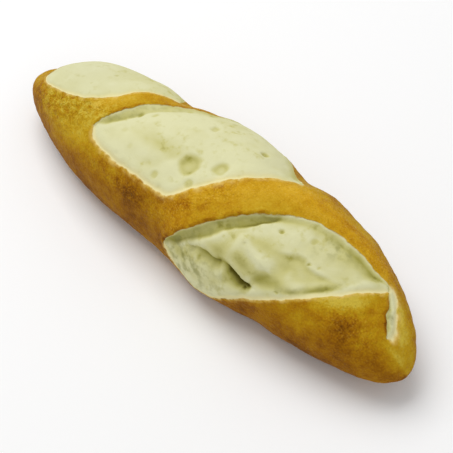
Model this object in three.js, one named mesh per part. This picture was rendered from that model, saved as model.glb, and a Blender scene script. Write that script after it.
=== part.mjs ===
// A demi-baguette: a short loaf with slashes cut slanting across its top, baked in one piece on a flat
// stone. All sizes are in millimetres. +X runs along the loaf to its slimmer end and +Z is up. The
// origin is on the flat base, midway between the ends and midway between the sides.
import * as THREE from 'three';

// Driving dimensions. Each list runs from the blunt end at -X to the slim end at +X. Its values are
// a sixteenth of a turn apart on a half circle drawn over the length, so they crowd towards the ends.
const LENGTH = 250;
const HALF_WIDTHS = [0, 12, 26, 32, 36, 34, 26, 13.5, 0];
const SIDE_SHIFTS = [-6, -6, -2.5, -2, 2.5, 3, 4, 1, 1];
const WAIST_HEIGHTS = [17, 19, 21, 22, 22, 22, 21, 18, 15];
const CROWN_RISE = 0.86;
const BELLY_DROP = 0.7;
const CROWN_FULLNESS = 2.15;
const BELLY_FULLNESS = 2.7;

// A slash is a closed outline on the crust. Each corner is a place along the loaf in millimetres and
// an angle in degrees round from the crest, positive towards +Y. Its crumb lies `sunk` below the crust.
const SLASHES = [
  {
    sunk: 0.8,
    outline: [[-112, -18], [-111, 12], [-101, 38], [-84, 62], [-64, 71], [-49, 62], [-44, 41],
      [-51, 26], [-58, 10], [-62, -2], [-70, -17], [-80, -27], [-92, -33], [-105, -34]],
  },
  {
    sunk: 1.5,
    outline: [[-58.5, -37], [-57.5, -24], [-54, -10], [-46, 12.5], [-34.5, 29.5], [-23, 40], [-16, 56],
      [-6, 73], [8, 71], [22, 55], [36, 36], [31, 26], [23, 5], [15, -12], [7, -31], [-1.5, -47],
      [-8.5, -50.5], [-25, -51], [-41, -51], [-54, -47]],
  },
  {
    sunk: 2.5,
    outline: [[4, -86], [8, -72], [19, -48], [32, -22.5], [42, -6], [53, 5], [66, 15.5], [79, 20],
      [90, 23], [99, 29], [98.5, 14], [94, -3], [86, -29], [73, -55], [60, -75], [48, -91],
      [34, -105.5], [20, -105.5], [9, -96]],
  },
  {
    sunk: 1,
    outline: [[97, 28], [102, 34], [106, 28], [110, 18], [113, 8], [114.5, -1], [113, -9],
      [110.5, -6], [108, 0], [105, 5], [104, 13], [100, 21]],
  },
];
const OUTLINE_STEPS = 80;
const DEGREES_TO_GIRTH = THREE.MathUtils.degToRad(30);
const RIM_RUN = 7;
const LIP_HEIGHT = 1;
const LIP_REACH = 6;

// The fold is a crease in the crumb of the third slash, where the dough tore as it rose.
const FOLD = { from: [29, -66], to: [56, -65], deep: 3, reach: 4 };

// Where a slash opened wide the loaf swelled, and it stays narrower between two slashes. Each swell is
// centred on a place on the crust, and its reach and height are in millimetres.
const SWELLS = [
  { at: [-60, 56], reach: [8, 15], high: 0.7 },
  { at: [-42, 46], reach: [10, 19], high: -1.9 },
  { at: [-8, 56], reach: [17, 20], high: 1.3 },
  { at: [29, 46], reach: [10, 18], high: -3.9 },
  { at: [50, 62], reach: [22, 20], high: 1.3 },
  { at: [27, -115], reach: [13, 25], high: 2.3 },
  { at: [58, -106], reach: [13, 25], high: -1.5 },
  { at: [90, -114], reach: [15, 25], high: 0.8 },
  { at: [-117, 0], reach: [5, 20], high: -2 },
];

// Facets are laid closer together over the crown, where the slashes are.
const FACETS_AROUND = 44;
const FACETS_ALONG = 84;
const CROWN_CROWDING = 0.35;

// A smooth curve through evenly spaced values, read at share 0 to 1 of its length.
function curveThrough(values, share) {
  const last = values.length - 1;
  const place = share * last;
  const index = Math.min(Math.floor(place), last - 1);
  const before = index > 0 ? values[index - 1] : 2 * values[0] - values[1];
  const after = index < last - 1 ? values[index + 2] : 2 * values[last] - values[last - 1];
  const t = place - index;
  const bend = 2 * before - 5 * values[index] + 4 * values[index + 1] - after;
  const twist = 3 * (values[index] - values[index + 1]) + after - before;
  return values[index] + 0.5 * t * (values[index + 1] - before + t * (bend + t * twist));
}

// A superellipse's cosine or sine: the higher the fullness, the squarer the corner.
function fuller(wave, fullness) {
  return Math.sign(wave) * Math.abs(wave) ** (2 / fullness);
}

// The uncut crust at a share of the way along the loaf and an angle round from the crest.
function crustPoint(share, angle) {
  const halfWidth = curveThrough(HALF_WIDTHS, share);
  const onCrown = Math.abs(angle) <= Math.PI / 2;
  const fullness = onCrown ? CROWN_FULLNESS : BELLY_FULLNESS;
  const height = halfWidth * (onCrown ? CROWN_RISE : BELLY_DROP);
  return new THREE.Vector3(
    (-Math.cos(Math.PI * share) * LENGTH) / 2,
    curveThrough(SIDE_SHIFTS, share) + halfWidth * fuller(Math.sin(angle), fullness),
    curveThrough(WAIST_HEIGHTS, share) + height * fuller(Math.cos(angle), fullness),
  );
}

// The middle of the loaf's section, which the crust sinks towards.
function sectionMiddle(share, x) {
  return new THREE.Vector3(x, curveThrough(SIDE_SHIFTS, share), curveThrough(WAIST_HEIGHTS, share));
}

// A place on the crust unrolled flat: millimetres along the loaf, and millimetres round its girth.
function unroll([along, degrees]) {
  return new THREE.Vector2(along, degrees * DEGREES_TO_GIRTH);
}

function distanceToSegment(point, start, end) {
  const run = end.clone().sub(start);
  const share = THREE.MathUtils.clamp(point.clone().sub(start).dot(run) / run.lengthSq(), 0, 1);
  return point.distanceTo(run.multiplyScalar(share).add(start));
}

// How far a place lies inside a slash's outline, or outside it as a negative number.
function depthInside(point, outline) {
  let nearest = Infinity;
  let inside = false;
  outline.forEach((end, index) => {
    const start = outline[(index || outline.length) - 1];
    nearest = Math.min(nearest, distanceToSegment(point, start, end));
    const crosses = start.y > point.y !== end.y > point.y;
    const crossing = start.x + ((end.x - start.x) * (point.y - start.y)) / (end.y - start.y);
    if (crosses && point.x < crossing) inside = !inside;
  });
  return inside ? nearest : -nearest;
}

function closedOutline(corners) {
  const points = corners.map(unroll).map(({ x, y }) => new THREE.Vector3(x, y, 0));
  const curve = new THREE.CatmullRomCurve3(points, true, 'catmullrom', 0.5);
  return curve.getPoints(OUTLINE_STEPS).slice(1).map(({ x, y }) => new THREE.Vector2(x, y));
}

const slashes = SLASHES.map(({ sunk, outline }) => ({ sunk, outline: closedOutline(outline) }));
const foldEnds = [unroll(FOLD.from), unroll(FOLD.to)];

// How much the crust stands out at a place, where the loaf swelled.
function swellAt(place) {
  return SWELLS.reduce((total, { at, reach, high }) => {
    const offset = place.clone().sub(unroll(at));
    return total + high * Math.exp(-((offset.x / reach[0]) ** 2) - (offset.y / reach[1]) ** 2);
  }, 0);
}

// How far the surface lies below the uncut crust: the crumb sinks inside a slash, the crust curls up
// into a lip just outside it, the fold creases the third slash's crumb, and the loaf swells.
function sinkAt(place) {
  let sink = 0;
  let crumb = 0;
  for (const { sunk, outline } of slashes) {
    const depth = depthInside(place, outline);
    const inSlash = THREE.MathUtils.smoothstep(depth, 0, RIM_RUN);
    crumb = Math.max(crumb, inSlash);
    sink += sunk * inSlash;
    if (depth < 0) sink -= LIP_HEIGHT * Math.exp(-((depth / LIP_REACH) ** 2));
  }
  const crease = distanceToSegment(place, ...foldEnds) / FOLD.reach;
  const carved = Math.max(sink, -LIP_HEIGHT) + crumb * FOLD.deep * Math.exp(-(crease ** 2));
  return carved - swellAt(place);
}

// The loaf is a ball of facets with its poles at the loaf's ends, drawn out to the crust's shape.
function loafGeometry() {
  const geometry = new THREE.SphereGeometry(1, FACETS_AROUND, FACETS_ALONG).rotateZ(Math.PI / 2);
  const positions = geometry.attributes.position;
  const spot = new THREE.Vector3();
  for (let index = 0; index < positions.count; index += 1) {
    spot.fromBufferAttribute(positions, index);
    const share = Math.acos(THREE.MathUtils.clamp(-spot.x, -1, 1)) / Math.PI;
    const turn = Math.atan2(spot.y, spot.z);
    const angle = turn - CROWN_CROWDING * Math.sin(turn);
    const point = crustPoint(share, angle);
    const inward = sectionMiddle(share, point.x).sub(point);
    const place = unroll([point.x, THREE.MathUtils.radToDeg(angle)]);
    if (inward.length() > 0) point.addScaledVector(inward.normalize(), sinkAt(place));
    positions.setXYZ(index, point.x, point.y, Math.max(point.z, 0));
  }
  geometry.computeVertexNormals();
  return geometry;
}

// The base stays at z = 0, and the loaf's outline is centred over the origin.
function centreOverOrigin(geometry) {
  geometry.computeBoundingBox();
  const middle = geometry.boundingBox.getCenter(new THREE.Vector3());
  return geometry.translate(-middle.x, -middle.y, 0);
}

function makeLoaf() {
  const crust = new THREE.MeshStandardMaterial({ color: 0xc0902c, roughness: 0.7, metalness: 0 });
  const loaf = new THREE.Mesh(centreOverOrigin(loafGeometry()), crust);
  loaf.name = 'bread_loaf';
  return loaf;
}

const breadLoaf = new THREE.Group();
breadLoaf.add(makeLoaf());

export default breadLoaf;
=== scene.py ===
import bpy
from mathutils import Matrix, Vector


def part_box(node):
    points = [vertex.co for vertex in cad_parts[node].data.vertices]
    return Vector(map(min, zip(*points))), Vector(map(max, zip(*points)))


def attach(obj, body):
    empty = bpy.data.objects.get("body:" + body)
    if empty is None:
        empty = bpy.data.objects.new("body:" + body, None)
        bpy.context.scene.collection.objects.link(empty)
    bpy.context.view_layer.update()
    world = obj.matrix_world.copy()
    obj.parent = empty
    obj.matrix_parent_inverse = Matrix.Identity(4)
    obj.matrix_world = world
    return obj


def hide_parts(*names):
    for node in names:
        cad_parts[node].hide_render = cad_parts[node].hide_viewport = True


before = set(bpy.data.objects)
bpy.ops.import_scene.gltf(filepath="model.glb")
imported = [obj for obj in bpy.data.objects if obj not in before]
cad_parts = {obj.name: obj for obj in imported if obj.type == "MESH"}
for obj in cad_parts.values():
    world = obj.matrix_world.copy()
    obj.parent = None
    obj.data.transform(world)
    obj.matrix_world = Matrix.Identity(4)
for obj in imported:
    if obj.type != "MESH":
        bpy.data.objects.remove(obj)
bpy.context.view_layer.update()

import math

import bpy
import numpy as np
from mathutils import Vector, noise

# The loaf is a demi-baguette: one piece of wheat dough, rolled by hand, slashed slantwise with a blade
# and baked on a flat stone. The crust is thin and hard. The slashes tore open as the dough rose, and
# the crumb inside them dried to a pale skin. All its sizes here are millimetres.
MM = 0.001
LENGTH = 250
HALF_WIDTHS = [0, 12, 26, 32, 36, 34, 26, 13.5, 0]  # from the blunt end to the slim end
SIDE_SHIFTS = [-6, -6, -2.5, -2, 2.5, 3, 4, 1, 1]
WAIST_HEIGHTS = [17, 19, 21, 22, 22, 22, 21, 18, 15]
CROWN_RISE = 0.86
BELLY_DROP = 0.7
CROWN_FULLNESS = 2.15
BELLY_FULLNESS = 2.7
FACETS_AROUND = 260
FACETS_ALONG = 368
END_SPREAD = 0.3  # moves facets from the ends to the middle
CROWN_CROWDING = 0.2  # moves facets from the base to the crown
MEAN_RADIUS = 30
GIRTH = math.radians(MEAN_RADIUS)  # millimetres round the loaf for each degree from its crest

# The loaf starts as a ball of facets with its poles at the loaf's ends.
bpy.ops.object.select_all(action="DESELECT")
bpy.ops.mesh.primitive_uv_sphere_add(
    segments=FACETS_AROUND, ring_count=FACETS_ALONG, radius=1, rotation=(0, -math.pi / 2, 0)
)
loaf = bpy.context.object
loaf.name = "loaf"
loaf.data.uv_layers[0].name = "OFBake"
bpy.ops.object.transform_apply(location=True, rotation=True, scale=True)
ball = np.zeros(3 * len(loaf.data.vertices))
loaf.data.vertices.foreach_get("co", ball)
ball = ball.reshape(-1, 3)
even_share = np.arccos(np.clip(-ball[:, 0], -1, 1)) / math.pi
share = even_share + END_SPREAD * np.sin(2 * math.pi * even_share) / (2 * math.pi)
even_turn = np.arctan2(ball[:, 1], ball[:, 2])
turn = even_turn - CROWN_CROWDING * np.sin(even_turn)


def curve_through(values, share):
    """A smooth curve through evenly spaced values, read at share 0 to 1 of its length."""
    first, last = 2 * values[0] - values[1], 2 * values[-1] - values[-2]
    v = np.array([first, *values, last], float)
    place = np.clip(share * (len(values) - 1), 0, len(values) - 1 - 1e-9)
    i = place.astype(int)
    t = place - i
    bend = 2 * v[i] - 5 * v[i + 1] + 4 * v[i + 2] - v[i + 3]
    twist = 3 * (v[i + 1] - v[i + 2]) + v[i + 3] - v[i]
    return v[i + 1] + 0.5 * t * (v[i + 2] - v[i] + t * (bend + t * twist))


def fuller(wave, fullness):
    """A superellipse's cosine or sine: the higher the fullness, the squarer the corner."""
    return np.sign(wave) * np.abs(wave) ** (2 / fullness)


def crust_points(share, turn):
    """The uncut crust, at a share of the way along the loaf and an angle round from its crest."""
    width = curve_through(HALF_WIDTHS, share)
    crown = np.abs(turn) <= math.pi / 2
    fullness = np.where(crown, CROWN_FULLNESS, BELLY_FULLNESS)
    height = width * np.where(crown, CROWN_RISE, BELLY_DROP)
    x = -np.cos(math.pi * share) * LENGTH / 2
    y = curve_through(SIDE_SHIFTS, share) + width * fuller(np.sin(turn), fullness)
    z = curve_through(WAIST_HEIGHTS, share) + height * fuller(np.cos(turn), fullness)
    return np.stack([x, y, z], 1)


def unit(vectors):
    return vectors / np.maximum(np.linalg.norm(vectors, axis=1, keepdims=True), 1e-9)


STEP = 0.002
crust = crust_points(share, turn)
inner_share = np.clip(share, STEP, 1 - STEP)
lengthways = unit(crust_points(inner_share + STEP, turn) - crust_points(inner_share - STEP, turn))
sideways = unit(crust_points(inner_share, turn + STEP) - crust_points(inner_share, turn - STEP))
outwards = unit(np.cross(lengthways, sideways))
outwards[share < STEP / 2] = (-1, 0, 0)
outwards[share > 1 - STEP / 2] = (1, 0, 0)
along = crust[:, 0]
degrees = np.degrees(turn)


def ripples(size, seed):
    """Smooth random values, about -1 to 1, that change over `size` millimetres of the crust."""
    return np.array([noise.noise(Vector(spot)) for spot in crust / size + seed])


def smooth(values, low, high):
    t = np.clip((values - low) / (high - low), 0, 1)
    return t * t * (3 - 2 * t)


def unrolled(corners):
    """Places on the crust laid flat: millimetres along, and millimetres round from the crest."""
    return np.array(corners, float) * (1, GIRTH)


PATH_STEPS = 12


def smooth_path(corners, closed):
    """A Catmull-Rom curve through the corners."""
    corners = unrolled(corners)
    ends = (corners[-1:], corners[:2]) if closed else (
        2 * corners[:1] - corners[1:2], 2 * corners[-1:] - corners[-2:-1])
    knots = np.concatenate([ends[0], corners, ends[1]])
    t = np.arange(PATH_STEPS)[:, None] / PATH_STEPS
    spans = []
    for p, q, r, s in zip(knots, knots[1:], knots[2:], knots[3:]):
        bend, twist = 2 * p - 5 * q + 4 * r - s, 3 * (q - r) + s - p
        spans.append(q + 0.5 * t * (r - p + t * (bend + t * twist)))
    return np.concatenate(spans + [spans[0][:1] if closed else corners[-1:]])


def nearest_on(path, spots):
    """For each spot: its way from the path's nearest point, the path's run there, and how far along."""
    gap = np.full(len(spots), np.inf)
    away, run, how_far = np.zeros((len(spots), 2)), np.zeros((len(spots), 2)), np.zeros(len(spots))
    count = len(path) - 1
    for i, (start, end) in enumerate(zip(path, path[1:])):
        side = end - start
        t = np.clip((spots - start) @ side / (side @ side), 0, 1)
        offset = spots - start - t[:, None] * side
        distance = np.linalg.norm(offset, axis=1)
        closer = distance < gap
        gap[closer], away[closer], run[closer] = distance[closer], offset[closer], side
        how_far[closer] = (i + t[closer]) / count
    return gap, away, run, how_far


def inside(path, spots):
    """Which spots lie inside a closed path."""
    found = np.zeros(len(spots), bool)
    for (x0, y0), (x1, y1) in zip(path, path[1:]):
        spans = (y0 > spots[:, 1]) != (y1 > spots[:, 1])
        crossing = x0 + (x1 - x0) * (spots[:, 1] - y0) / (y1 - y0 if y1 != y0 else 1)
        found ^= spans & (spots[:, 0] < crossing)
    return found


# Each slash opened into an eye with two rims, whose corners are millimetres along the loaf and degrees
# round from its crest. The crust of the upper rim, nearer the blunt end, was lifted by the blade and
# curls over a trough in the crumb. At the lower rim the crumb rose nearly level with the crust.
SLASHES = {
    "first": {
        "upper": [(-112, -18), (-111, 12), (-101, 38), (-84, 62), (-64, 71), (-49, 62), (-44, 41)],
        "lower": [(-112, -18), (-105, -34), (-92, -33), (-80, -27), (-70, -17), (-62, -2), (-58, 10),
                  (-51, 26), (-44, 41)],
        "trough": 0.3, "wall": [3, 3], "fade": (0.5, 1.0), "sunk": -0.6, "lip": 0.2, "overhang": 0,
        "rough": 0.25, "worn": 1.0,
    },
    "second": {
        "upper": [(-58.5, -37), (-57.5, -24), (-54, -10), (-46, 12.5), (-34.5, 29.5), (-23, 40), (-16, 56),
                  (-6, 73), (8, 71), (22, 55), (36, 36)],
        "lower": [(-58.5, -37), (-54, -47), (-41, -51), (-25, -51), (-8.5, -50.5), (-1.5, -47),
                  (7, -31), (15, -12), (23, 5), (31, 26), (36, 36)],
        "trough": 1.1, "wall": [3, 5, 5, 3, 2, 2], "fade": (0.15, 0.55), "sunk": 0.2, "lip": 0.7,
        "overhang": 0.25, "rough": 0.35, "worn": 0.6,
    },
    "third": {
        "upper": [(4, -86), (8, -72), (19, -48), (32, -22.5), (42, -6), (53, 5), (66, 15.5), (79, 20),
                  (90, 23), (99, 29)],
        "lower": [(4, -86), (9, -96), (20, -105.5), (34, -105.5), (48, -91), (60, -75), (73, -55),
                  (86, -29), (94, -3), (98.5, 14), (99, 29)],
        "trough": 1.4, "wall": [2, 4.4, 6, 4.7, 2.8, 1, 1, 1, 1, 1], "fade": (0.42, 0.57), "sunk": 1.0,
        "lip": 1.2, "overhang": 0.8, "rough": 0.5, "worn": 1.0,
    },
    "fourth": {
        "upper": [(97, 28), (100, 21), (104, 13), (105, 5), (108, 0), (110.5, -6), (113, -9)],
        "lower": [(97, 28), (102, 34), (106, 28), (110, 18), (113, 8), (114.5, -1), (113, -9)],
        "trough": 0.5, "wall": [2, 2], "fade": (0.8, 1.0), "sunk": 0.0, "lip": 0.4, "overhang": 0.3,
        "rough": 0.9, "worn": 0.3,
    },
}
TEAR_WOBBLE = 0.6
LIP_REACH = 4  # how far out from a rim the crust is lifted
HANG_REACH = 3  # how far out from an upper rim it is drawn over the crumb
TROUGH_RUN = 2.4  # how gently the trough rises again from the foot of its wall
RIM_CREASE = 0.25
RIM_SWELL = 0.4
spots = np.stack([along, degrees * GIRTH], 1)
torn = spots + TEAR_WOBBLE * np.stack(
    [ripples(6, 3.7) + 0.35 * ripples(2.5, 9.1), ripples(6, 17.3) + 0.35 * ripples(2.5, 23.9)], 1)

crumb_depth = np.full(len(spots), -99.0)  # how far inside a slash's outline, in millimetres
covered = np.zeros(len(spots))  # where the crust reaches down over the crumb at an upper rim
wall = np.zeros(len(spots))  # the torn side under a lip
rim_dark = np.zeros(len(spots))  # the scorched edge of a lip
rim_pale = np.zeros(len(spots))  # the half-baked edge of the crumb at a lower rim
rim_painted_shade = np.zeros(len(spots))  # the shaded edge of the crumb at an upper rim that has no lip
rim_toast = np.zeros(len(spots))  # the toasted line in the crust just outside it
sink = np.zeros(len(spots))  # how far the surface lies below the uncut crust
pull = np.zeros((len(spots), 2))  # how far it is drawn along and round the loaf
in_slash = {}
for name, slash in SLASHES.items():
    corners = slash["upper"] + slash["lower"][-2:0:-1]
    outline = smooth_path(corners, closed=True)
    middle = (len(slash["upper"]) - 1) * PATH_STEPS
    within = inside(outline, torn)
    side = np.where(within, 1, -1)
    to_upper, away, run, how_far = nearest_on(outline[:middle + 1], torn)
    to_lower = nearest_on(outline[middle:], torn)[0]
    depth = side * np.minimum(to_upper, to_lower)
    upper = to_lower / (to_upper + to_lower + 1e-9)
    lifted = smooth(upper, 0.45, 0.75) * (1 - smooth(how_far, *slash["fade"]))
    up = side * to_upper
    foot = curve_through(slash["wall"], how_far)
    trough = smooth(foot, 0, 4) * smooth(up, 0.2, foot) * (1 - smooth(up, foot, foot + TROUGH_RUN))
    sink += slash["trough"] * lifted * trough * within
    low = side * to_lower
    sink += slash["sunk"] * smooth(low, 3.5, 9) * smooth(up, 0, 2.5)
    level = within * (1 - lifted)
    sink += level * RIM_CREASE * np.exp(-((low - 0.6) ** 2))
    sink -= level * RIM_SWELL * np.exp(-(((low - 4) / 2.6) ** 2))
    lip = np.exp(-((np.minimum(depth, 0) / LIP_REACH) ** 2)) * (1 - smooth(depth, 0, 0.9))
    hang = np.exp(-((np.minimum(up, 0) / HANG_REACH) ** 2)) * (1 - smooth(up, 0.2, TROUGH_RUN))
    sink -= slash["lip"] * (0.3 + 0.7 * lifted) * lip
    outward = unit(-side[:, None] * away)
    pull -= (slash["overhang"] * lifted * hang)[:, None] * outward
    worn = smooth(upper, 0.3, 0.6) * (1 - slash["worn"]) + slash["worn"]
    crumb_depth = np.maximum(crumb_depth, depth * worn)
    covered = np.maximum(covered, lifted * np.exp(-((up / 2.5) ** 2)))
    wall = np.maximum(wall, lifted * smooth(up, -1, 0.2) * (1 - smooth(up, foot - 0.5, foot + 1)))
    rim_dark = np.maximum(rim_dark, lifted * np.exp(-(((up + 0.2) / 0.8) ** 2)))
    rim_pale = np.maximum(rim_pale, (1 - smooth(upper, 0.3, 0.6)) * np.exp(-((depth / 3) ** 2)))
    bare = smooth(upper, 0.5, 0.7) * (1 - lifted) * smooth(up, -0.6, 0.4)
    # Painted shade along the crumb's edge at an upper rim that has no lip.
    rim_painted_shade = np.maximum(rim_painted_shade, bare * np.exp(-((up / 3) ** 2)))
    rim_toast = np.maximum(rim_toast, (1 - lifted) * np.exp(-(((depth + 1.8) / 1.1) ** 2)))
    in_slash[name] = smooth(depth, 0.3, 3)
crumb = smooth(crumb_depth, 0, 1)

# Soft hollows and mounds in the crumb: where each lies, how long and wide it is, the way it leans in
# degrees, and how deep it is. A negative depth is a mound.
HOLLOWS = {
    "first": [(-88, 20, 30, 24, 30, -0.5), (-70, 30, 20, 12, 40, 0.4)],
    "second": [
        (-46, -14, 14, 20, -50, 0.9), (-18, -2, 46, 30, 40, -1.4), (-38, -35, 20, 14, 10, -0.6),
        (10, 15, 18, 30, 40, -0.8), (-16, -28, 26, 7, 40, 0.5), (4, 22, 26, 8, 50, 0.5),
        (-28, 12, 24, 8, 45, -0.6), (-18, -16, 28, 8, 5, 0.8),
    ],
    "third": [
        (38, -47, 36, 14, -6, -1.0), (28, -92, 36, 14, 4, -0.8), (73, 16, 20, 8, 45, 0.6),
        (86, -4, 18, 10, 45, -0.6), (72, -38, 20, 7, 40, -0.8), (14, -84, 12, 8, 40, 0.7),
    ],
    "fourth": [],
}


def blob(place, length, width, lean):
    """A soft round patch, 1 at its middle, whose length leans from the loaf's length."""
    x, y = (spots - unrolled(place)).T
    c, s = math.cos(math.radians(lean)), math.sin(math.radians(lean))
    return np.exp(-(((x * c + y * s) / (length / 2)) ** 2) - (((y * c - x * s) / (width / 2)) ** 2))


for name, hollows in HOLLOWS.items():
    for x, angle, length, width, lean, deep in hollows:
        sink += deep * in_slash[name] * blob((x, angle), length, width, lean)

# In the third slash the crumb tore along a fold, in two bites, and the dough above hangs over it. Above
# the fold the dough was drawn up to a crest. Beside the crest it lies in a terrace that drops towards
# the lower rim, where a groove parts it from a pale edge. A crevice runs at the foot of the lip.
FOLD = [(23, -68), (29, -66), (34, -66), (38, -63), (43, -63), (50, -66), (57, -70)]
FOLD_BITES = [0.3, 0.45, 0.5, 0.5, 0.5, 0.45, 0.3, 0.35, 0.6, 0.8, 1.0, 0.6, 0.0]
CREST = [(37, -33), (43, -36), (50, -40), (57, -43), (62, -48)]
TERRACE = [(46, -35), (53, -27), (60, -20), (67, -14), (72, -18), (80, -15), (90, -8)]
GROOVE = [(57, -60), (66, -54), (72, -49), (77, -40), (81, -30), (85, -18), (89, 0), (91, 12)]
CREVICE = [(34, -34), (39, -22), (43, -12), (47, -4)]
BITE_DEPTH = 4.0
BITE_OVERHANG = 1.6
CREST_HEIGHT = 2.8
TERRACE_DROP = 1.3
GROOVE_DEPTH = 0.6
CREVICE_DEPTH = 0.8


def beside(path, left, right):
    """How many times `left` or `right` millimetres each spot lies from a path, on that side of it."""
    gap, away, run, how_far = nearest_on(smooth_path(path, closed=False), torn)
    on_left = run[:, 0] * away[:, 1] > run[:, 1] * away[:, 0]
    return gap / np.where(on_left, left, right), on_left, away, how_far


third = in_slash["third"]
reach, above, away, how_far = beside(FOLD, 1.6, 5.0)
torn_open = third * curve_through(FOLD_BITES, how_far)
bite = torn_open * np.exp(-(reach ** 2))
sink += BITE_DEPTH * bite
overhang = torn_open * above * np.exp(-((reach - 1.1) ** 2))
pull -= (BITE_OVERHANG * overhang)[:, None] * unit(away)
fold_shade = torn_open * ~above * np.exp(-((reach / 1.3) ** 2)) * smooth(how_far, 0.35, 0.6)
reach, above, _, how_far = beside(CREST, 3.0, 7.0)
crest = third * smooth(how_far, 0, 0.25) * (1 - smooth(how_far, 0.6, 1)) * np.exp(-reach)
sink -= CREST_HEIGHT * crest
flank = third * ~above * smooth(reach, 0, 0.15) * (1 - smooth(reach, 0.9, 1.5))
flank = flank * smooth(how_far, 0.1, 0.4) * (1 - smooth(how_far, 0.9, 1))
reach, above, _, how_far = beside(TERRACE, 6.0, 6.0)
drop = third * ~above * smooth(reach, 0, 0.5) * (1 - smooth(reach, 1.2, 2.4))
drop = drop * smooth(how_far, 0.15, 0.4) * (1 - smooth(how_far, 0.7, 1))
sink += TERRACE_DROP * drop
reach, _, _, how_far = beside(GROOVE, 2.2, 1.4)
groove = third * smooth(how_far, 0.05, 0.25) * (1 - smooth(how_far, 0.8, 1)) * np.exp(-(reach ** 2))
sink += GROOVE_DEPTH * groove
reach, _, _, how_far = beside(CREVICE, 1.2, 1.2)
crevice = third * smooth(how_far, 0, 0.4) * (1 - smooth(how_far, 0.8, 1)) * np.exp(-(reach ** 2))
sink += CREVICE_DEPTH * crevice

# Bubbles that opened at the crumb's skin: place, width and depth. Most are hardly more than dents.
BUBBLES = [
    (-4, -18, 10, 1.2), (9, -7, 7, 1.0), (13, 29, 4, 0.9), (-12, 17, 4, 0.5), (3, -30, 5, 0.8),
    (-45, -3, 3, 0.5), (-39, 2, 2.5, 0.4), (51, -12, 2.2, 1.0), (70, -18, 1.4, 0.8),
    (52, -74, 1.4, 0.9), (44, -38, 1.3, 0.5), (67, -56, 1.4, 0.6), (-14, -40, 4, 0.5),
]
BUBBLE_COUNT = 60
BUBBLE_SEED = 11
BUBBLE_SQUARENESS = 2.4
rng = np.random.default_rng(BUBBLE_SEED)
scattered = zip(rng.uniform(-105, 95, BUBBLE_COUNT), rng.uniform(-100, 55, BUBBLE_COUNT),
                rng.uniform(1.2, 3.2, BUBBLE_COUNT), rng.uniform(0.1, 0.4, BUBBLE_COUNT))
# Painted shade in the bubbles' cups, less on the floors of the wide ones.
bubble_painted_shade = np.zeros(len(spots))
for x, angle, wide, deep in [*BUBBLES, *scattered]:
    offset = np.abs(torn - unrolled((x, angle))) / (wide / 2)
    ring = (offset ** BUBBLE_SQUARENESS).sum(axis=1) ** (1 / BUBBLE_SQUARENESS)
    cup = crumb * (1 - smooth(ring, 0.5, 1.3))
    sink += deep * cup
    pale_floor = 0.6 * smooth(np.array(wide), 4, 7) * (1 - smooth(ring, 0.2, 0.8))
    bubble_painted_shade = np.maximum(bubble_painted_shade, cup * (1 - pale_floor) * min(deep, 1))

# The crumb is uneven, the more so where it tore. The crust has shallow dents and a fine grain, and it
# is pitted in patches, most of all near the blunt end.
rough = sum(slash["rough"] * in_slash[name] for name, slash in SLASHES.items())
sink -= rough * (0.7 * ripples(11, 31.3) + 0.3 * ripples(4.5, 47.7) + 0.08 * ripples(1.9, 53.1))
PITTED = [
    (-92, -44, 44, 24, 10, 1.0), (-68, -26, 26, 10, 30, 0.9), (-30, -66, 70, 12, 0, 0.4),
    (98, -38, 24, 20, 0, 0.4), (14, -30, 24, 10, 50, 0.35), (-95, -120, 50, 30, 0, 0.5),
    (20, 95, 90, 30, 0, 0.4), (-80, 105, 40, 30, 0, 0.5), (95, 75, 30, 20, 0, 0.5),
]
pitted = sum(much * blob((x, angle), *size) for x, angle, *size, much in PITTED)
skin = 1 - crumb
pitted = skin * np.clip(pitted, 0, 1)
sink -= skin * (0.45 * ripples(16, 61.9) + 0.3 * ripples(6, 67.3) + 0.1 * ripples(2, 71.9))
PIT_DEPTH = 0.7
pits = np.clip(ripples(2.4, 83.3) + 0.6 * ripples(5, 89.9), -0.3, 0.9)
sink += PIT_DEPTH * pitted * pits

# The bands of crust left between the slashes stand up in round ridges.
RIDGES = [
    ([(-65, -19), (-59, 0), (-53, 17), (-44, 28), (-34, 40)], 4.5, 0.5, 0.5),
    ([(6, -55), (11, -31), (22, -8), (32, 13), (42, 20), (57, 27), (70, 29), (90, 36)], 8, 0.9, 1.0),
]
gold = np.zeros(len(spots))
for path, reach, high, golden in RIDGES:
    gap = nearest_on(smooth_path(path, closed=False), spots)[0]
    ridge = np.exp(-((gap / reach) ** 2))
    sink -= high * ridge * skin
    gold = np.maximum(gold, golden * ridge)

# Where a slash opened wide the loaf swelled, and it stays narrower between two slashes.
SWELLS = [
    (-84, 48, 44, 30, 0, -0.6), (-60, 56, 16, 30, 0, 0.7), (-42, 46, 20, 38, 0, -1.9),
    (-24, 53, 10, 20, 0, -0.5), (-8, 56, 34, 40, 0, 1.3), (29, 46, 21, 36, 0, -3.9),
    (50, 62, 44, 40, 0, 1.3), (75, 64, 16, 30, 0, 0.4), (95, 56, 10, 20, 0, -0.4),
    (114, 76, 16, 40, 0, 0.6), (120, -110, 12, 40, 0, 0.6), (-56, -108, 30, 40, 0, 0.6),
    (-93, -92, 20, 30, 0, -0.7), (-12, -108, 26, 50, 0, -0.9), (27, -115, 26, 50, 0, 2.3),
    (58, -106, 26, 50, 0, -1.5), (66, -102, 14, 40, 0, 0.5), (90, -114, 30, 50, 0, 0.8),
    (-117, 0, 10, 40, 0, -2.0),
]
for x, angle, length, width, lean, high in SWELLS:
    sink -= high * blob((x, angle), length, width, lean)

shaped = crust - sink[:, None] * outwards
shaped += pull[:, :1] * lengthways + pull[:, 1:] * sideways
shaped[:, 2] = np.maximum(shaped[:, 2], 0)
box_low, box_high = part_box("bread_loaf")
side_shift = (box_low.y + box_high.y) / 2 / MM - (crust[:, 1].min() + crust[:, 1].max()) / 2
shaped[:, 1] += side_shift
loaf.data.vertices.foreach_set("co", (shaped * MM).ravel())
loaf.data.update()
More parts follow.
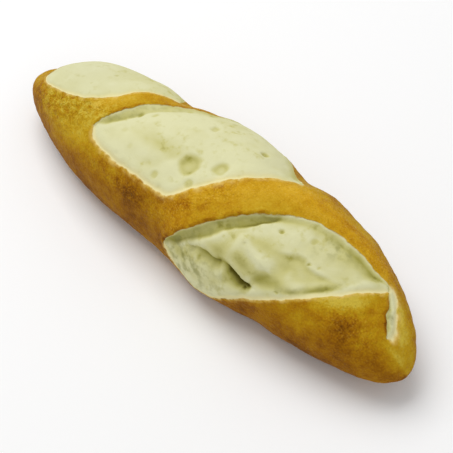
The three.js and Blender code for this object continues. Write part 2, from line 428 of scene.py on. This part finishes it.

# Painted shade gathers where the surface lies below its surroundings, which are its neighbours' average.
ends = np.zeros(2 * len(loaf.data.edges), int)
loaf.data.edges.foreach_get("vertices", ends)
ends = ends.reshape(-1, 2)
links_at = np.bincount(ends.ravel(), minlength=len(spots))


def evened(values, rounds):
    """Values averaged with their neighbours' again and again, each time spreading a little more."""
    for _ in range(rounds):
        shared = np.bincount(ends[:, 0], values[ends[:, 1]], len(values))
        shared += np.bincount(ends[:, 1], values[ends[:, 0]], len(values))
        values = (values + shared / links_at) / 2
    return values


NEAR_ROUNDS, WIDE_ROUNDS = 14, 110
dent = sink - evened(sink, NEAR_ROUNDS)
dip = sink - evened(sink, WIDE_ROUNDS)

# What the finish reads: how deep in a slash a place is, how brown the crust baked, how golden it is on
# the ridges, how pitted it is, how pale a lower rim is, the crumb's painted shade, and how mottled and
# milky it is. The browned, yellowed and painted-shade patches are a place, a length, a width, a lean and
# an amount.
BROWNED = [
    (-41, -62, 12, 8, 20, 0.2), (-22, -68, 20, 9, 10, 0.22), (-16, -57, 14, 6, 0, 0.2),
    (-4, -54, 12, 7, 20, 0.26), (6, -46, 12, 9, 40, 0.34), (62, -80, 34, 8, 35, 0.1),
    (97, -42, 18, 16, 50, 0.28), (98, -66, 44, 30, 20, 0.17), (100, -8, 9, 10, 40, 0.12),
    (-20, -85, 80, 26, 0, 0.12), (84, 36, 30, 8, 20, 0.24), (-108, -60, 20, 30, 0, 0.28),
    (8, -68, 14, 18, 0, 0.12), (28, 6, 10, 6, 40, 0.14), (76, -56, 10, 5, 40, 0.12),
    (16, -18, 12, 5, 45, 0.16), (68, 34, 40, 5, 20, 0.2), (118, -55, 16, 40, 0, 0.2),
    (104, 8, 5, 8, 30, 0.16),
]
YELLOWED = [
    (-66, -62, 32, 12, 10, 0.1), (-59, -30, 10, 16, 0, 0.2), (92, -18, 24, 11, 55, 0.55),
    (119, -14, 12, 9, -40, 0.3), (-60, -5, 44, 9, 45, 0.22), (108, 30, 20, 12, 0, 0.35),
    (115, 13, 18, 7, -55, 0.3), (-92, -40, 40, 22, 10, 0.14), (54, -84, 40, 6, 20, 0.14),
    (-50, 16, 16, 5, 45, -0.15),
]
turned = np.abs(degrees)
bake = 0.36 + 0.3 * smooth(turned, 50, 105) + 0.1 * smooth(turned, 125, 150)
bake += 0.1 * smooth(along, 40, 110) * smooth(turned, 20, 60)
for x, angle, length, width, lean, amount in BROWNED:
    bake += amount * blob((x, angle), length, width, lean)
for x, angle, length, width, lean, amount in YELLOWED:
    bake -= amount * blob((x, angle), length, width, lean)
uneven = 0.6 + 0.8 * ripples(3, 113.3)
bake += 0.15 * ripples(30, 97.1) + 0.14 * ripples(12, 101.3) + 0.1 * ripples(5, 107.9)
# The crust is browner in its dents, partly as painted shade, and scorched at the lips' edges.
bake += 0.35 * dent * skin + (0.5 * rim_dark + 0.1 * rim_toast * skin) * uneven
first, second = in_slash["first"], in_slash["second"]
# Painted shade in the crumb: on the shaded rims and the walls under the lips, in the bubbles, the fold,
# the groove and the crevice, and in hollows lower than their neighbours.
painted_shade = 0.24 * rim_painted_shade + 0.14 * wall + 0.2 * bubble_painted_shade
painted_shade += 0.25 * bite + 0.6 * fold_shade + 0.08 * groove + 0.2 * crevice
# Painted shade on the lobe's flank and in the terrace, and a painted highlight on the crest.
painted_shade += 0.15 * flank + 0.07 * drop - 0.35 * crest
painted_shade += 0.22 * np.clip(dip, -0.5, 1.5) + 0.25 * np.clip(dent, -0.3, 0.6)
painted_shade += 0.11 * third + 0.11 * first
# Painted shade: the first slash's crumb darker down the +Y side, and the first and second slashes' crumb
# darker in a band along their far edges.
painted_shade += 0.1 * first * smooth(degrees, 35, 75)  # the crumb is a little darker down the +Y side
painted_shade += 0.22 * (first + second) * smooth(degrees, 54, 66)
# Painted shade in patches of crumb; a negative amount is a painted highlight.
SHADED = [
    ("third", 11, -88, 26, 12, 20, 0.12), ("third", 43, -50, 26, 12, 10, 0.24),
    ("third", 49.5, -56, 13, 10, 0, 0.24), ("third", 34, -58, 11, 7, 10, 0.28),
    ("third", 50, -31, 18, 7, 15, 0.26), ("third", 52, -10, 24, 10, 30, -0.12),
    ("third", 66, -51, 24, 8, 16, 0.28), ("third", 82, -28, 14, 4, 52, 0.28),
    ("third", 82, 14, 18, 9, 30, 0.2), ("third", 91, 14, 9, 8, 0, 0.18),
    ("second", -18, -17, 34, 9, 6, 0.16), ("second", -30, -12, 24, 8, -40, 0.12),
    ("second", -10, 42, 30, 10, 40, 0.12),
    ("fourth", 111, 2, 9, 10, 0, 0.2), ("fourth", 100, 24, 10, 12, 0, -0.3),
]
for name, x, angle, length, width, lean, amount in SHADED:
    painted_shade += amount * in_slash[name] * blob((x, angle), length, width, lean)
painted_shade = np.clip(painted_shade, 0, 1 - 0.5 * wall)
# Grey-olive blotches in the crumb: partly its pores, partly painted shade in the walls under the lips and
# in the groove.
mottle = third * (1.3 * blob((76, 13), 26, 10, 40) + 1.5 * blob((20, -86), 44, 18, 0) + 0.8 * wall)
mottle += 0.9 * groove + 2 * in_slash["fourth"] * blob((110, 3), 14, 16, 0)
mottle += second * wall
milky = first * blob((-92, 6), 50, 36, 0)
crumb_depth -= 0.7 * covered  # the crust of a curled lip reaches a little way down over the crumb
finish = {
    "crumb_depth": crumb_depth, "bake": bake, "gold": gold, "pitted": pitted, "rim_pale": rim_pale,
    "painted_shade": painted_shade, "mottle": mottle, "milky": milky,
}
for name, values in finish.items():
    layer = loaf.data.attributes.new(name, "FLOAT", "POINT")
    layer.data.foreach_set("value", values)

bpy.ops.object.mode_set(mode="EDIT")
bpy.ops.mesh.select_all(action="SELECT")
bpy.ops.mesh.normals_make_consistent(inside=False)
bpy.ops.object.mode_set(mode="OBJECT")
bpy.ops.object.shade_smooth()


def srgb(red, green, blue):
    """A colour given as 0 to 255 screen values, as the linear colour that a shader works in."""
    parts = [c / 255 for c in (red, green, blue)]
    return (*[c / 12.92 if c <= 0.04045 else ((c + 0.055) / 1.055) ** 2.4 for c in parts], 1)


bread = bpy.data.materials.new("crust and crumb")
bread.use_nodes = True
nodes, links = bread.node_tree.nodes, bread.node_tree.links
shader = nodes["Principled BSDF"]


def put(socket, value):
    """Sets a socket, or links it if the value is another node's output."""
    if isinstance(value, bpy.types.NodeSocket):
        links.new(value, socket)
    else:
        socket.default_value = value


def attribute(name):
    node = nodes.new("ShaderNodeAttribute")
    node.attribute_name = name
    return node.outputs["Fac"]


def math_node(operation, *values):
    node = nodes.new("ShaderNodeMath")
    node.operation = operation
    for socket, value in zip(node.inputs, values):
        put(socket, value)
    return node.outputs[0]


def between(value, low, high, to_low=0.0, to_high=1.0):
    node = nodes.new("ShaderNodeMapRange")
    node.interpolation_type = "SMOOTHSTEP"
    for name, number in {"Value": value, "From Min": low, "From Max": high, "To Min": to_low,
                         "To Max": to_high}.items():
        put(node.inputs[name], number)
    return node.outputs["Result"]


def grain(size_mm, detail):
    """Noise whose lumps are about size_mm across."""
    node = nodes.new("ShaderNodeTexNoise")
    links.new(place.outputs["Object"], node.inputs["Vector"])
    node.inputs["Scale"].default_value = 1 / (size_mm * MM)
    node.inputs["Detail"].default_value = detail
    return node.outputs["Fac"]


def mix(factor, first, second):
    node = nodes.new("ShaderNodeMix")
    node.data_type = "RGBA"
    put(node.inputs["Factor"], factor)
    put(node.inputs[6], first)
    put(node.inputs[7], second)
    return node.outputs[2]


def ramp(value, stops):
    node = nodes.new("ShaderNodeValToRGB")
    links.new(value, node.inputs["Fac"])
    elements = node.color_ramp.elements
    for i, (position, colour) in enumerate(stops):
        element = elements[i] if i < 2 else elements.new(position)
        element.position = position
        element.color = srgb(*colour)
    return node.outputs["Color"]


def speckle(value, low, high, strength):
    """The peaks of a noise as a mask."""
    return between(value, low, high, 0, strength)


def times(first, second):
    return math_node("MULTIPLY", first, second)


def plus(first, *others):
    for other in others:
        first = math_node("ADD", first, other)
    return first


place = nodes.new("ShaderNodeTexCoord")
ragged = plus(attribute("crumb_depth"), between(grain(3, 2), 0.25, 0.75, -0.2, 0.2))
in_crumb = between(ragged, -0.3, 0.3)

# Crust: gold where it is thin, browner where it baked longer, orange on the ridges, with a fine grain
# of light and dark flecks that is strongest where the crust is pitted; the light flecks are partly painted
# highlights.
contrast = plus(times(attribute("pitted"), 2.2), 1.0)
coarse = times(between(grain(3.4, 4), 0.25, 0.75, -0.07, 0.07), contrast)
fine = times(between(grain(0.9, 3), 0.25, 0.75, -0.07, 0.07), contrast)
browning = plus(attribute("bake"), coarse, fine)
plain_crust = ramp(browning, [
    (0.0, (208, 182, 64)), (1.0, (98, 56, 4)), (0.2, (194, 157, 30)), (0.38, (184, 141, 16)),
    (0.55, (170, 119, 9)), (0.72, (150, 97, 6)), (0.86, (124, 75, 5)),
])
golden_crust = ramp(browning, [
    (0.0, (230, 190, 74)), (1.0, (112, 62, 5)), (0.25, (216, 170, 42)), (0.45, (204, 155, 24)),
    (0.65, (182, 127, 12)), (0.82, (150, 90, 7)),
])
crust_colour = mix(attribute("gold"), plain_crust, golden_crust)
# Light flecks in the crust's grain, partly painted highlights, strongest on the ridges and where it is
# pitted.
fleck_and_glint_strength = plus(times(attribute("gold"), 0.7), times(attribute("pitted"), 0.7), 0.25)
flecks_and_glints = times(speckle(grain(0.8, 2), 0.56, 0.7, 0.4), fleck_and_glint_strength)
crust_colour = mix(flecks_and_glints, crust_colour, srgb(228, 186, 80))
crust_colour = mix(speckle(grain(1.0, 1), 0.62, 0.72, 0.22), crust_colour, srgb(108, 66, 6))
pale_patches = times(attribute("rim_pale"), between(grain(3, 2), 0.25, 0.7))
near_rim = times(between(ragged, -2.2, 0.0), pale_patches)
crust_colour = mix(near_rim, crust_colour, srgb(226, 192, 104))

# Crumb: a pale dry skin with faint smudges and painted shade, greener and darker, in the folds, bubbles
# and hollows, and cream at the lower rims.
clouds = between(grain(12, 2), 0.3, 0.7, -0.05, 0.06)
smudges = times(speckle(grain(4, 3), 0.5, 0.8, 0.3), between(grain(15, 1), 0.4, 0.6))
blotches = times(attribute("mottle"), speckle(grain(4.5, 4), 0.42, 0.66, 0.5))
painted_shade_and_tone = plus(attribute("painted_shade"), clouds, smudges)
crumb_colour = ramp(painted_shade_and_tone, [
    (0.0, (221, 219, 174)), (1.0, (92, 84, 22)), (0.3, (202, 197, 132)), (0.6, (166, 160, 82)),
])
crumb_colour = mix(times(attribute("milky"), 0.45), crumb_colour, srgb(216, 217, 188))
crumb_colour = mix(blotches, crumb_colour, srgb(146, 144, 84))
cream = times(between(ragged, 3.2, 0.4), times(attribute("rim_pale"), 0.9))
crumb_colour = mix(cream, crumb_colour, srgb(236, 225, 168))
colour = mix(in_crumb, crust_colour, crumb_colour)
links.new(colour, shader.inputs["Base Color"])
CRUMB_ROUGHNESS = 0.92
BUMP_STRENGTH = 0.6
BUMP_HEIGHT = 0.8 * MM
crust_roughness = between(grain(1.4, 2), 0.3, 0.7, 0.5, 0.7)
roughness = nodes.new("ShaderNodeMix")
links.new(in_crumb, roughness.inputs["Factor"])
links.new(crust_roughness, roughness.inputs[2])
roughness.inputs[3].default_value = CRUMB_ROUGHNESS
links.new(roughness.outputs[0], shader.inputs["Roughness"])
shader.inputs["Specular IOR Level"].default_value = 0.05

crust_bumps = times(plus(grain(1.1, 4), times(grain(3.4, 3), 1.2)), contrast)
crumb_bumps = plus(times(grain(0.8, 2), 0.25), times(grain(3, 2), 0.5))
height = nodes.new("ShaderNodeMix")
links.new(in_crumb, height.inputs["Factor"])
links.new(crust_bumps, height.inputs[2])
links.new(crumb_bumps, height.inputs[3])
bump = nodes.new("ShaderNodeBump")
bump.inputs["Strength"].default_value = BUMP_STRENGTH
bump.inputs["Distance"].default_value = BUMP_HEIGHT
links.new(height.outputs[0], bump.inputs["Height"])
links.new(bump.outputs["Normal"], shader.inputs["Normal"])
loaf.data.materials.append(bread)

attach(loaf, "root")
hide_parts("bread_loaf")

# The floor is a plain, nearly white sheet under the loaf.
FLOOR_SIZE = 6.0
bpy.ops.mesh.primitive_plane_add(size=FLOOR_SIZE)
floor = bpy.context.object
floor.name = "floor"
paper = bpy.data.materials.new("white paper")
paper.use_nodes = True
paper_shader = paper.node_tree.nodes["Principled BSDF"]
paper_shader.inputs["Base Color"].default_value = (0.97, 0.97, 0.97, 1)
paper_shader.inputs["Roughness"].default_value = 0.95
floor.data.materials.append(paper)

# Soft studio light: a bright white room, a large soft lamp above and a little behind the loaf, and a
# weak one in front. A lamp's place is to the right of the view, away from the camera, and up, in metres.
CAMERA_TURN = math.radians(47.97)
world = bpy.data.worlds.new("white room")
bpy.context.scene.world = world
world.use_nodes = True
world.node_tree.nodes["Background"].inputs["Color"].default_value = (1, 1, 1, 1)
world.node_tree.nodes["Background"].inputs["Strength"].default_value = 0.48
LAMPS = {"overhead": ((-0.35, 0.45, 1.2), 1.0, 11.0), "fill": ((0.5, -1.2, 0.9), 1.2, 2.4)}
for name, (position, size, power) in LAMPS.items():
    right = Vector((math.cos(CAMERA_TURN), math.sin(CAMERA_TURN), 0))
    away_from_camera = Vector((-math.sin(CAMERA_TURN), math.cos(CAMERA_TURN), 0))
    spot = position[0] * right + position[1] * away_from_camera + Vector((0, 0, position[2]))
    bpy.ops.object.light_add(type="AREA", location=spot)
    lamp = bpy.context.object
    lamp.name = name
    lamp.data.size = size
    lamp.data.energy = power
    lamp.rotation_euler = (-spot).to_track_quat("-Z", "Y").to_euler()

# The camera looks down on the loaf from the slim end's side.
CAMERA_RISE = math.radians(50)
CAMERA_DISTANCE = 0.62
CAMERA_AIM = Vector((0.0105, -0.0002, 0.0134))
SENSOR = 36
FOCAL_LENGTH = 105.14
back = Vector((math.sin(CAMERA_TURN) * math.cos(CAMERA_RISE),
               -math.cos(CAMERA_TURN) * math.cos(CAMERA_RISE), math.sin(CAMERA_RISE)))
aim = CAMERA_AIM + Vector((0, side_shift * MM, 0))
bpy.ops.object.camera_add(location=aim + CAMERA_DISTANCE * back)
camera = bpy.context.object
camera.name = "camera"
camera.rotation_euler = (-back).to_track_quat("-Z", "Y").to_euler()
camera.data.sensor_width = SENSOR
camera.data.lens = FOCAL_LENGTH
bpy.context.scene.camera = camera
bpy.context.scene.view_settings.view_transform = "Standard"
